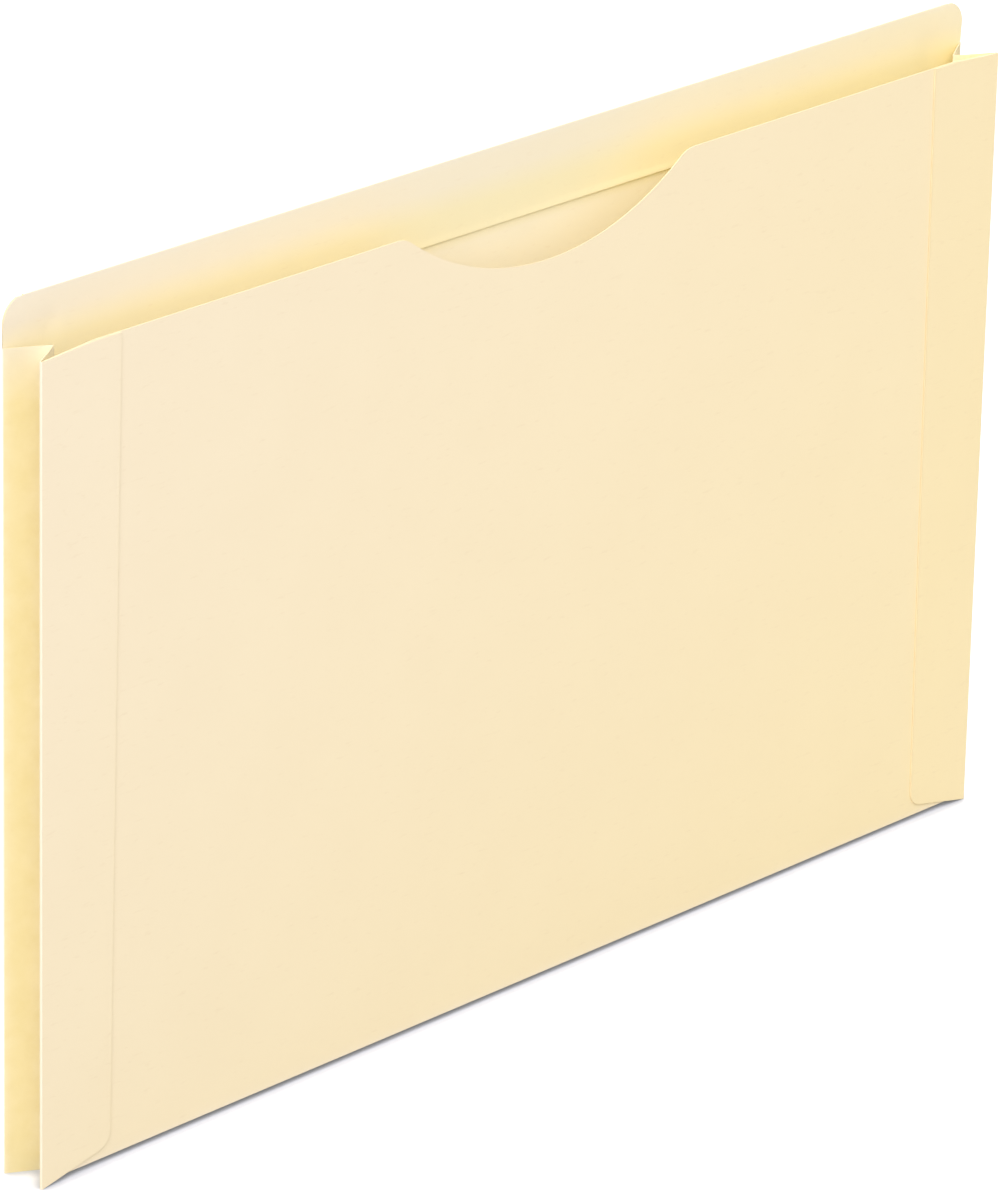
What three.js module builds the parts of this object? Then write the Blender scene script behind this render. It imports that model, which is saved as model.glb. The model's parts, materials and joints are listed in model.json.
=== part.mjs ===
// A manila file jacket, legal size: a back panel with a straight tab, a lower
// front panel with a thumb cut, and a pleat at each side and along the bottom.
// X runs along the width, +Y points to the back and +Z up. The origin is on the
// table, under the middle of the jacket. Sizes are in millimetres.
import * as THREE from "three";

// Outer sizes
const WIDTH = 374.65; // across the side folds: 14 3/4 in
const HEIGHT = 241.3; // table to the top of the tab: 9 1/2 in
const TAB_RISE = 11.5; // top of the tab above the front panel's top edge
const GUSSET_DROP = 1.4; // side pleats' top edge below the front panel's
const BOTTOM_RISE = 1.5; // the bottom folds clear the table by this much

// Stock and glue
const STOCK = 0.28; // 11 point manila stock
const GLUE_FILM = 0.08; // dried glue between two plies
const FOLD_GAP = 0.1; // a ply's edge to the rounded crease beside it

// Pleats
const PLEAT = 12.7; // each half of a pleat: two halves make the 1 in expansion
const DEPTH = 13.5; // between the panels' inner faces, as the jacket stands
const CLOSED_DEPTH = 2; // between the same faces, pressed flat
const END_GAP = 0.8; // what stands still to a pleat that passes it

// Tab
const TAB_CORNER = 6.35; // corner radius
const TAB_PLY = 22.7; // height of the ply folded over the tab's front
const TAB_STEP = 0.6; // side pleats to the wide part of the folded ply
const TAB_GLUE_MARGIN = 2.5; // free edges of the ply to the glue film

// Thumb cut
const THUMB_RADIUS = 91;
const THUMB_DEPTH = 18.7; // below the front panel's top edge
const THUMB_SHOULDER = 9; // radius where the cut meets the top edge

// Top corners of the front panel, cut lower towards the folds
const SHOULDER_RUN = 18.8; // fold to where the top edge is level
const SHOULDER_DROP = 0.1; // the panel's corner below the side pleats

// Glue flaps
const FLAP_TOP_WIDTH = 28; // fold to the free edge, at the top
const FLAP_FOOT_WIDTH = 24.9; // the same, at the foot
const FLAP_BELOW_FRONT = 0.2; // the flap's top edge below the panel's
const FLAP_FOOT_RISE = 5.2; // foot of the free edge above the table
const FLAP_CORNER = 4.5; // corner radius at the foot
const FLAP_GLUE_MARGIN = 3; // flap's edges to the glue film
const FLAP_GLUE_END = 8; // flap's top and foot to the glue film

// The sizes that follow
const OUTER_X = WIDTH / 2;
const FRONT_TOP = HEIGHT - TAB_RISE; // table to the front panel's top edge
const GUSSET_TOP = FRONT_TOP - GUSSET_DROP; // table to the side pleats' top
const SHOULDER_X = OUTER_X - SHOULDER_RUN; // where the lowered corners start
const FOLD_RADIUS = STOCK; // a crease wraps its fold line at this radius
const EDGE = FOLD_RADIUS + FOLD_GAP; // fold line to a ply's edge
const FOLD_X = OUTER_X - FOLD_RADIUS; // side fold lines
const FOLD_Y = DEPTH / 2; // fold lines, on the panels' inner faces
const FOLD_Z = BOTTOM_RISE + FOLD_RADIUS; // bottom fold lines
const PANEL_X = FOLD_X - EDGE; // side edges of the panels
const FLAP_REACH = 2 * STOCK + GLUE_FILM; // inner face to the flap's outside
const CENTRING = (FLAP_REACH - STOCK) / 2; // puts the middle of the depth at Y = 0

// A half's inner face runs through the fold line on its panel and its outer
// face through the middle fold line, so two halves and two panels lie flat on
// each other. That turns the sheet back by this angle.
const SHEET_TILT = Math.asin(STOCK / PLEAT);
const SHEET_REACH = PLEAT * Math.cos(SHEET_TILT);
const pleatAngle = (depth) => Math.asin(depth / 2 / PLEAT);
const PLEAT_ANGLE = pleatAngle(DEPTH);
const SHEET_ANGLE = PLEAT_ANGLE - SHEET_TILT;
const PLEAT_INSET = PLEAT * Math.cos(PLEAT_ANGLE); // fold line to middle fold

// Nothing meets the side pleats further in than this from their fold line, and
// nearer to it only a ply that is cut on a slant stays clear of the closed pleat.
const PLEAT_CLEAR = PLEAT + FOLD_RADIUS + END_GAP;
const SLANT_START =
  STOCK / Math.sin(pleatAngle(CLOSED_DEPTH) - SHEET_TILT) + END_GAP / 2;

const CREASE_SIDES = 12;
const ARC_STEPS = 12;
const QUARTER = Math.PI / 2;

const manila = (color) =>
  new THREE.MeshStandardMaterial({ color, roughness: 0.85, metalness: 0 });
const FACE = manila(0xfae8c4);
const PLEATED = manila(0xfae2b0);
const CREASED = manila(0xf7dfae);
const GLUE = new THREE.MeshStandardMaterial({
  color: 0xf3ecd8,
  roughness: 0.5,
  metalness: 0,
});

function piece(name, geometry, material, parent) {
  const mesh = new THREE.Mesh(geometry, material);
  mesh.name = name;
  parent.add(mesh);
  return mesh;
}

// An outline from points, each [x, y].
function outline(points) {
  return new THREE.Shape(points.map(([x, y]) => new THREE.Vector2(x, y)));
}

function extrude(shape, depth) {
  return new THREE.ExtrudeGeometry(shape, {
    depth,
    bevelEnabled: false,
    curveSegments: ARC_STEPS,
  });
}

// An upright ply from its outline in X and Z, with its back face at y.
function ply(shape, thickness, y) {
  const geometry = extrude(shape, thickness);
  geometry.rotateX(QUARTER);
  geometry.translate(0, y, 0);
  return geometry;
}

// A rounded crease along Z from the foot to the top.
function uprightCrease(foot, top) {
  const height = top - foot;
  const geometry = new THREE.CylinderGeometry(
    FOLD_RADIUS,
    FOLD_RADIUS,
    height,
    CREASE_SIDES,
  );
  geometry.rotateX(QUARTER);
  geometry.translate(0, 0, foot + height / 2);
  return geometry;
}

// A rounded crease along X, with its middle at the origin.
function levelCrease(length) {
  const geometry = new THREE.CylinderGeometry(
    FOLD_RADIUS,
    FOLD_RADIUS,
    length,
    CREASE_SIDES,
  );
  geometry.rotateZ(QUARTER);
  return geometry;
}

// Where the bottom creases end, and where the panels' corners start beside them
const CREASE_END = FOLD_X - SLANT_START;
const CORNER_START = CREASE_END + FOLD_GAP;

// The lower edge that both panels have, from left to right: it stops at the
// bottom crease, and reaches down beside the crease's ends.
const lowerEdge = [
  [-PANEL_X, BOTTOM_RISE],
  [-CORNER_START, BOTTOM_RISE],
  [-CORNER_START, FOLD_Z + EDGE],
  [CORNER_START, FOLD_Z + EDGE],
  [CORNER_START, BOTTOM_RISE],
  [PANEL_X, BOTTOM_RISE],
];

// The tab's rounded top ends at the round fold that joins its two plies.
const TAB_FOLD_RADIUS = STOCK + GLUE_FILM / 2;
const TAB_EDGE = HEIGHT - TAB_FOLD_RADIUS;

// Adds the tab's rounded top corners and its edge, from right to left.
function tabTop(shape) {
  const z = HEIGHT - TAB_CORNER;
  const x = OUTER_X - TAB_CORNER;
  const end = Math.asin((TAB_EDGE - z) / TAB_CORNER);
  shape.absarc(x, z, TAB_CORNER, 0, end, false);
  shape.absarc(-x, z, TAB_CORNER, Math.PI - end, Math.PI, false);
}

function backPanelShape() {
  const step = GUSSET_TOP + FOLD_GAP;
  const shape = outline(lowerEdge);
  shape.lineTo(PANEL_X, step);
  shape.lineTo(OUTER_X, step);
  tabTop(shape);
  shape.lineTo(-OUTER_X, step);
  shape.lineTo(-PANEL_X, step);
  return shape;
}

// The ply folded over the tab's front is narrower below, to clear the pleats.
function tabPlyShape() {
  const foot = HEIGHT - TAB_PLY;
  const step = GUSSET_TOP + TAB_STEP;
  const inner = FOLD_X - PLEAT_CLEAR;
  const shape = outline([
    [-inner, foot],
    [inner, foot],
    [inner, step],
    [OUTER_X, step],
  ]);
  tabTop(shape);
  shape.lineTo(-OUTER_X, step);
  shape.lineTo(-inner, step);
  return shape;
}

function frontPanelShape() {
  const cornerTop = GUSSET_TOP - SHOULDER_DROP;
  const arcCentre = FRONT_TOP - THUMB_DEPTH + THUMB_RADIUS;
  const roundCentre = FRONT_TOP - THUMB_SHOULDER;
  const between = THUMB_RADIUS + THUMB_SHOULDER;
  const drop = arcCentre - roundCentre;
  const roundX = Math.sqrt(between ** 2 - drop ** 2);
  const lean = Math.atan2(drop, roundX);
  const shape = outline(lowerEdge);
  shape.lineTo(PANEL_X, cornerTop);
  shape.lineTo(SHOULDER_X, FRONT_TOP);
  shape.absarc(roundX, roundCentre, THUMB_SHOULDER, QUARTER, Math.PI - lean, false);
  shape.absarc(0, arcCentre, THUMB_RADIUS, -lean, lean - Math.PI, true);
  shape.absarc(-roundX, roundCentre, THUMB_SHOULDER, lean, QUARTER, false);
  shape.lineTo(-SHOULDER_X, FRONT_TOP);
  shape.lineTo(-PANEL_X, cornerTop);
  return shape;
}

// A glue flap: side is -1 on the left and 1 on the right. It starts at the fold
// line, and its foot slants down to a tip there, which stands on the table.
function flapShape(side) {
  const footX = OUTER_X - FLAP_FOOT_WIDTH;
  const topX = OUTER_X - FLAP_TOP_WIDTH;
  const top = FRONT_TOP - FLAP_BELOW_FRONT;
  const slant = Math.atan2(FLAP_FOOT_RISE, FOLD_X - footX);
  const corner = new THREE.Vector2(footX, FLAP_FOOT_RISE);
  const alongFoot = FLAP_CORNER * Math.cos(slant);
  const upFoot = FLAP_CORNER * Math.sin(slant);
  const shape = new THREE.Shape();
  shape.moveTo(side * FOLD_X, 0);
  shape.lineTo(side * (corner.x + alongFoot), corner.y - upFoot);
  shape.quadraticCurveTo(
    side * corner.x,
    corner.y,
    side * corner.x,
    corner.y + FLAP_CORNER,
  );
  shape.lineTo(side * topX, top);
  shape.lineTo(side * SHOULDER_X, top);
  shape.lineTo(side * FOLD_X, GUSSET_TOP);
  return shape;
}

function flapGlueShape(side) {
  const outer = FOLD_X - FLAP_GLUE_MARGIN;
  const inner = OUTER_X - FLAP_FOOT_WIDTH + FLAP_GLUE_MARGIN;
  const foot = FLAP_GLUE_END;
  const top = GUSSET_TOP - FLAP_GLUE_END;
  return outline([
    [side * inner, foot],
    [side * outer, foot],
    [side * outer, top],
    [side * inner, top],
  ]);
}

function tabGlueShape() {
  const x = FOLD_X - PLEAT_CLEAR - TAB_GLUE_MARGIN;
  const foot = HEIGHT - TAB_PLY + TAB_GLUE_MARGIN;
  const top = HEIGHT - TAB_GLUE_MARGIN;
  return outline([
    [-x, foot],
    [x, foot],
    [x, top],
    [-x, top],
  ]);
}

// The front crease wraps the front panel's raw edge from the pleat to the flap.
// Its section has the fold line at the origin.
function frontCreaseShape(side) {
  const cornerY = -(FLAP_REACH - FOLD_RADIUS);
  const quarter = CREASE_SIDES / 4;
  const round = (step, centreY) => {
    const turn = (step / CREASE_SIDES) * 2 * Math.PI;
    const x = side * FOLD_RADIUS * Math.cos(turn);
    return [x, centreY - FOLD_RADIUS * Math.sin(turn)];
  };
  const points = [[side * FOLD_RADIUS, 0]];
  for (let step = 0; step <= quarter; step += 1) {
    points.push(round(step, cornerY));
  }
  for (let step = quarter; step < CREASE_SIDES; step += 1) {
    points.push(round(step, 0));
  }
  return outline(points);
}

// A half of a side pleat, along X from the fold line at the origin: side is -1
// on the left, and face is 1 on the rear half and -1 on the front half.
function sideHalf(side, face) {
  const length = SHEET_REACH - 2 * EDGE;
  const geometry = new THREE.BoxGeometry(length, STOCK, GUSSET_TOP);
  geometry.translate(
    -side * (EDGE + length / 2),
    (-face * STOCK) / 2,
    GUSSET_TOP / 2,
  );
  return geometry;
}

// A half of the bottom pleat, up from the fold line at the origin, with its
// lower corners cut on a slant so that they clear the side pleats.
function bottomHalf(face) {
  const top = SHEET_REACH - EDGE;
  const upperX = FOLD_X - PLEAT_CLEAR;
  const slantEnd = Math.min(CREASE_END - upperX, top);
  const shape = outline([
    [-CREASE_END + EDGE, EDGE],
    [CREASE_END - EDGE, EDGE],
    [CREASE_END - slantEnd, slantEnd],
    [upperX, top],
    [-upperX, top],
    [-(CREASE_END - slantEnd), slantEnd],
  ]);
  return ply(shape, STOCK, face > 0 ? 0 : STOCK);
}

// A group at a fold line, turned by the pleat's angle.
function foldGroup(parent, x, y, z) {
  const group = new THREE.Group();
  group.position.set(x, y, z);
  parent.add(group);
  return group;
}

function addBack(jacket) {
  piece("back_panel", ply(backPanelShape(), STOCK, FOLD_Y + STOCK), FACE, jacket);
  piece(
    "tab_front_ply",
    ply(tabPlyShape(), STOCK, FOLD_Y - GLUE_FILM),
    FACE,
    jacket,
  );
  piece("tab_glue_film", ply(tabGlueShape(), GLUE_FILM, FOLD_Y), GLUE, jacket);
  addTabFold(jacket);
  const bottom = piece(
    "bottom_back_crease",
    levelCrease(2 * CREASE_END),
    CREASED,
    jacket,
  );
  bottom.position.set(0, FOLD_Y, FOLD_Z);
}

// The round fold along the tab's top, a half round rod over both plies.
function addTabFold(jacket) {
  const length = 2 * (OUTER_X - TAB_CORNER);
  const section = new THREE.Shape();
  section.absarc(0, 0, TAB_FOLD_RADIUS, 0, Math.PI, false);
  const geometry = extrude(section, length);
  geometry.rotateX(QUARTER);
  geometry.rotateZ(QUARTER);
  geometry.translate(-length / 2, 0, 0);
  const fold = piece("tab_top_fold", geometry, CREASED, jacket);
  fold.position.set(0, FOLD_Y + STOCK - TAB_FOLD_RADIUS, TAB_EDGE);
}

function addFront(jacket) {
  piece("front_panel", ply(frontPanelShape(), STOCK, -FOLD_Y), FACE, jacket);
  const bottom = piece(
    "bottom_front_crease",
    levelCrease(2 * CREASE_END),
    CREASED,
    jacket,
  );
  bottom.position.set(0, -FOLD_Y, FOLD_Z);
}

function addFlap(jacket, word, side) {
  const glueBack = -FOLD_Y - STOCK;
  piece(
    word + "_flap_glue_film",
    ply(flapGlueShape(side), GLUE_FILM, glueBack),
    GLUE,
    jacket,
  );
  piece(
    word + "_glue_flap",
    ply(flapShape(side), STOCK, glueBack - GLUE_FILM),
    FACE,
    jacket,
  );
  const crease = piece(
    word + "_front_crease",
    extrude(frontCreaseShape(side), GUSSET_TOP),
    CREASED,
    jacket,
  );
  crease.position.set(side * FOLD_X, -FOLD_Y, 0);
}

function addSidePleat(jacket, word, side) {
  const back = piece(
    word + "_back_crease",
    uprightCrease(0, GUSSET_TOP),
    CREASED,
    jacket,
  );
  back.position.set(side * FOLD_X, FOLD_Y, 0);
  for (const face of [1, -1]) {
    const group = foldGroup(jacket, side * FOLD_X, face * FOLD_Y, 0);
    group.rotation.z = side * face * SHEET_ANGLE;
    const name = word + (face > 0 ? "_rear_gusset" : "_front_gusset");
    piece(name, sideHalf(side, face), PLEATED, group);
  }
  const middle = piece(
    word + "_mid_crease",
    uprightCrease(0, GUSSET_TOP),
    CREASED,
    jacket,
  );
  middle.position.set(side * (FOLD_X - PLEAT_INSET), 0, 0);
}

function addBottomPleat(jacket) {
  for (const face of [1, -1]) {
    const group = foldGroup(jacket, 0, face * FOLD_Y, FOLD_Z);
    group.rotation.x = face * SHEET_ANGLE;
    const name = face > 0 ? "bottom_rear_strip" : "bottom_front_strip";
    piece(name, bottomHalf(face), PLEATED, group);
  }
  const middle = piece(
    "bottom_mid_crease",
    levelCrease(2 * (FOLD_X - PLEAT_CLEAR)),
    CREASED,
    jacket,
  );
  middle.position.set(0, 0, FOLD_Z + PLEAT_INSET);
}

const jacket = new THREE.Group();
jacket.position.y = CENTRING;
addBack(jacket);
addFront(jacket);
for (const [word, side] of [
  ["left", -1],
  ["right", 1],
]) {
  addFlap(jacket, word, side);
  addSidePleat(jacket, word, side);
}
addBottomPleat(jacket);

export default jacket;
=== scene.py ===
"""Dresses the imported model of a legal-size manila file jacket and sets its studio."""
import json
import math
from collections import namedtuple

import bmesh
import bpy
from mathutils import Matrix, Vector


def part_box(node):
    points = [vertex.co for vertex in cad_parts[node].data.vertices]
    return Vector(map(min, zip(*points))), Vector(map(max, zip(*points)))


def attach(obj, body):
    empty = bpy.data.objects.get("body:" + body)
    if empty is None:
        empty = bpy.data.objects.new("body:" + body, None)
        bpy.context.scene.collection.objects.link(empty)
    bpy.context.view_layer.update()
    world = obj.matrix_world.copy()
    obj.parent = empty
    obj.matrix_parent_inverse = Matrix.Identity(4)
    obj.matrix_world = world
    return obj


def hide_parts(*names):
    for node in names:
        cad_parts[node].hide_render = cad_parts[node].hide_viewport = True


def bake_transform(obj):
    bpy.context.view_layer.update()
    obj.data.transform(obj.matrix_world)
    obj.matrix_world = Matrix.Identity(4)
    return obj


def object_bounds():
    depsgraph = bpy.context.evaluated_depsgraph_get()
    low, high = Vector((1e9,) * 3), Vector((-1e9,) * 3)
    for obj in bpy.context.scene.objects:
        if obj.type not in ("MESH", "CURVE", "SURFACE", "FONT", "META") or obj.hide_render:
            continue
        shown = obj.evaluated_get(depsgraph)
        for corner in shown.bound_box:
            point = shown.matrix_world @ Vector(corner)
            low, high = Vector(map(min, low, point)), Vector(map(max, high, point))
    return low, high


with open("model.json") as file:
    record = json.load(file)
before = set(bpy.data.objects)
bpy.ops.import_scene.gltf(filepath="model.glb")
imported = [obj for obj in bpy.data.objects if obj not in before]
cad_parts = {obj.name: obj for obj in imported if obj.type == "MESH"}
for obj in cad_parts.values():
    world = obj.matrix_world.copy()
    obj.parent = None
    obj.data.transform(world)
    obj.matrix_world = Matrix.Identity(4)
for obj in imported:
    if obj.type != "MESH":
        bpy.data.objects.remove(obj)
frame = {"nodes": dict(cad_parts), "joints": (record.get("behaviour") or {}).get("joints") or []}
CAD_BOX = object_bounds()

bl_info = {
    "name": "Manila File Jacket",
    "version": (1, 0, 0),
    "blender": (4, 5, 0),
    "location": "View3D > Sidebar > Jacket",
    "description": "Makes the sheets, folds and stage of a manila file jacket",
    "category": "Object",
}

MM = 0.001
QUARTER = math.pi / 2
LEFT = -1
RIGHT = 1
SIDES = (LEFT, RIGHT)
REAR = 1
FRONT = -1
HALVES = (REAR, FRONT)
SIDE_WORD = {LEFT: "left", RIGHT: "right"}
HALF_WORD = {REAR: "rear", FRONT: "front"}
PANEL_WORD = {REAR: "back", FRONT: "front"}

# The mesh attribute that marks folds, edges and paler parts for the finishes: real fold wear,
# and also painted highlights on the folds, a painted shadow along the flaps' free edges and
# painted light on the pleats
MARK = "wear_and_painted_shading"

# Small steps in the sheets' outlines
PLY_FOOT_RISE = 0.5 * MM
PLY_GAP = 0.6 * MM
CORNER_GAP = 0.1 * MM

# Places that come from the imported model
FOLD_LINE = {joint["name"]: Vector(joint["pos_m"]) for joint in frame["joints"]}
TABLE = CAD_BOX[0][2]
TOP = CAD_BOX[1][2]
OUTER_X = CAD_BOX[1][0]
FOLD_X = FOLD_LINE["right_rear_fold"].x
BACK_Y = FOLD_LINE["left_rear_fold"].y
FRONT_Y = FOLD_LINE["left_front_fold"].y
FOLD_Y = {REAR: BACK_Y, FRONT: FRONT_Y}
FOLD_Z = FOLD_LINE["bottom_rear_fold"].z
MID_X = -FOLD_LINE["left_mid_fold"].x
MID_Y = FOLD_LINE["left_mid_fold"].y
MID_Z = sum(corner.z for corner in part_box("bottom_mid_crease")) / 2
PANEL_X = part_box("front_panel")[1].x
PANEL_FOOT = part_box("front_panel")[0].z
FRONT_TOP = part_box("front_panel")[1].z
GUSSET_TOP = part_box("left_back_crease")[1].z
CREASE_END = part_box("bottom_back_crease")[1].x
STRIP_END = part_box("bottom_mid_crease")[1].x
PLY_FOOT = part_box("tab_front_ply")[0].z + PLY_FOOT_RISE
FLAP_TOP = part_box("right_glue_flap")[1].z
FLAP_TOP_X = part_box("right_glue_flap")[0].x
FLAP_FRONT_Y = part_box("right_glue_flap")[0].y
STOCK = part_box("front_panel")[1].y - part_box("front_panel")[0].y
GLUE_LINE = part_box("tab_glue_film")[1].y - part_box("tab_glue_film")[0].y
GLUE_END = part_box("tab_glue_film")[1].x
PLY_STEP = GUSSET_TOP + PLY_GAP


class JacketSizes(bpy.types.PropertyGroup):
    """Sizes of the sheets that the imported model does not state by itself."""

    thumb_radius: bpy.props.FloatProperty(
        name="Thumb Cut Radius",
        description="Radius of the thumb cut in the front panel",
        default=91 * MM,
        unit="LENGTH",
    )
    thumb_depth: bpy.props.FloatProperty(
        name="Thumb Cut Depth",
        description="Depth of the thumb cut below the front panel's top edge",
        default=18.7 * MM,
        unit="LENGTH",
    )
    thumb_shoulder: bpy.props.FloatProperty(
        name="Thumb Cut Shoulder",
        description="Radius where the thumb cut meets the top edge",
        default=9 * MM,
        unit="LENGTH",
    )
    tab_corner: bpy.props.FloatProperty(
        name="Tab Corner",
        description="Corner radius of the tab",
        default=7 * MM,
        unit="LENGTH",
    )
    shoulder_run: bpy.props.FloatProperty(
        name="Shoulder Run",
        description="Length of the lowered top corners of the front panel",
        default=18.8 * MM,
        unit="LENGTH",
    )
    flap_foot_width: bpy.props.FloatProperty(
        name="Flap Foot Width",
        description="Width of a glue flap at its foot",
        default=24.9 * MM,
        unit="LENGTH",
    )
    flap_foot_rise: bpy.props.FloatProperty(
        name="Flap Foot Rise",
        description="Height of the foot of a flap's free edge above the table",
        default=5.2 * MM,
        unit="LENGTH",
    )
    flap_corner: bpy.props.FloatProperty(
        name="Flap Corner",
        description="Size of the rounded corner at the flap's foot",
        default=4.5 * MM,
        unit="LENGTH",
    )
    grid: bpy.props.FloatProperty(
        name="Sheet Grid",
        description="Distance between the mesh lines across a sheet",
        default=7.5 * MM,
        unit="LENGTH",
    )
    panel_wave: bpy.props.FloatProperty(
        name="Panel Wave",
        description="Height of the faint waves of the two panels",
        default=0.22 * MM,
        unit="LENGTH",
    )
    pleat_bow: bpy.props.FloatProperty(
        name="Pleat Bow",
        description="How far the middle of each pleat half bows out of its plane",
        default=0.1 * MM,
        unit="LENGTH",
    )
    ply_lift: bpy.props.FloatProperty(
        name="Ply Lift",
        description="How far the free edge of the tab's folded ply stands off",
        default=0.3 * MM,
        unit="LENGTH",
    )


class JacketColors(bpy.types.PropertyGroup):
    """Colours of the paper, the glue and the floor, and the light and shade painted on the
    paper.
    """

    panel: bpy.props.FloatVectorProperty(
        name="Panel",
        description="Face of the manila stock on the panels, flaps and folds",
        default=(0.965, 0.845, 0.605),
        subtype="COLOR",
    )
    # Painted light and shade: the stock is painted this warmer colour towards the lower right,
    # and stays paler at the upper left where more light falls
    painted_tone: bpy.props.FloatVectorProperty(
        name="Toned Stock",
        description="The warmer tone that the stock takes towards the lower right",
        default=(0.965, 0.81, 0.455),
        subtype="COLOR",
    )
    # Painted shade: the pleats are painted darker and yellower below their open top, where their
    # groove is in shade
    pleat: bpy.props.FloatVectorProperty(
        name="Pleat",
        description="Outer face of the pleats below their open top",
        default=(0.785, 0.655, 0.29),
        subtype="COLOR",
    )
    # Painted light: the pleats are painted paler at their open top, where light gets in
    pleat_top_light: bpy.props.FloatVectorProperty(
        name="Pleat Top",
        description="Outer face of the pleats at their open top",
        default=(0.765, 0.675, 0.465),
        subtype="COLOR",
    )
    # Painted light: paler beside the pleats' folds, as a painted highlight on the folds and
    # painted light that lifts the groove's shade
    pleat_fold_light: bpy.props.FloatVectorProperty(
        name="Pale Pleat",
        description="Outer face of the pleats beside their folds",
        default=(0.975, 0.88, 0.63),
        subtype="COLOR",
    )
    tab: bpy.props.FloatVectorProperty(
        name="Tab",
        description="Face of the tab's folded ply",
        default=(0.935, 0.842, 0.64),
        subtype="COLOR",
    )
    # Painted light and shade: the tab and inner faces are painted yellower towards the right,
    # like the panels' painted gradient and the shade at the tab's right end
    tab_right_shading: bpy.props.FloatVectorProperty(
        name="Toned Tab",
        description="The yellower tone of the tab and inner faces to the right",
        default=(0.95, 0.82, 0.3),
        subtype="COLOR",
    )
    # Painted shade: the ply is painted yellower towards its free edge, where it looks into the
    # gap above the front panel and shade falls
    ply_foot_shade: bpy.props.FloatVectorProperty(
        name="Ply Foot",
        description="The yellower tone of the folded ply towards its free edge",
        default=(0.95, 0.846, 0.53),
        subtype="COLOR",
    )
    # Painted light: the inner faces below the ply are painted brighter than the tab's face, to
    # lift the shade inside the pocket
    inside: bpy.props.FloatVectorProperty(
        name="Inside",
        description="The inner faces of the panels and pleats below the folded ply",
        default=(0.97, 0.88, 0.66),
        subtype="COLOR",
    )
    # Painted shadow: a darker band along a glue flap's free edge
    flap_edge_shadow: bpy.props.FloatVectorProperty(
        name="Flap Edge",
        description="The pressed rim along a glue flap's free edge",
        default=(0.92, 0.745, 0.41),
        subtype="COLOR",
    )
    # Painted shade: the raw edges are painted darker and yellower than the stock, as edges in
    # shade look
    edge: bpy.props.FloatVectorProperty(
        name="Cut Edge",
        description="Raw edge of the die-cut stock",
        default=(0.92, 0.76, 0.47),
        subtype="COLOR",
    )
    fleck: bpy.props.FloatVectorProperty(
        name="Fibre Fleck",
        description="The darker fibres that show in the stock",
        default=(0.70, 0.50, 0.26),
        subtype="COLOR",
    )
    glue: bpy.props.FloatVectorProperty(
        name="Dried Glue",
        description="Dried glue between two plies",
        default=(0.82, 0.76, 0.62),
        subtype="COLOR",
    )
    floor: bpy.props.FloatVectorProperty(
        name="Floor",
        description="The plain pale floor",
        default=(0.86, 0.87, 0.9),
        subtype="COLOR",
    )
    floor_bounce: bpy.props.FloatVectorProperty(
        name="Floor Bounce",
        description="The floor's tone for the light that it throws back up",
        default=(0.3, 0.3, 0.3),
        subtype="COLOR",
    )
    # Painted shadow: the floor is painted this darker colour right at the object's foot, on top
    # of its real shadows
    contact: bpy.props.FloatVectorProperty(
        name="Contact Shade",
        description="The floor's tone right under the object",
        default=(0.46, 0.48, 0.51),
        subtype="COLOR",
    )


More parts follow.
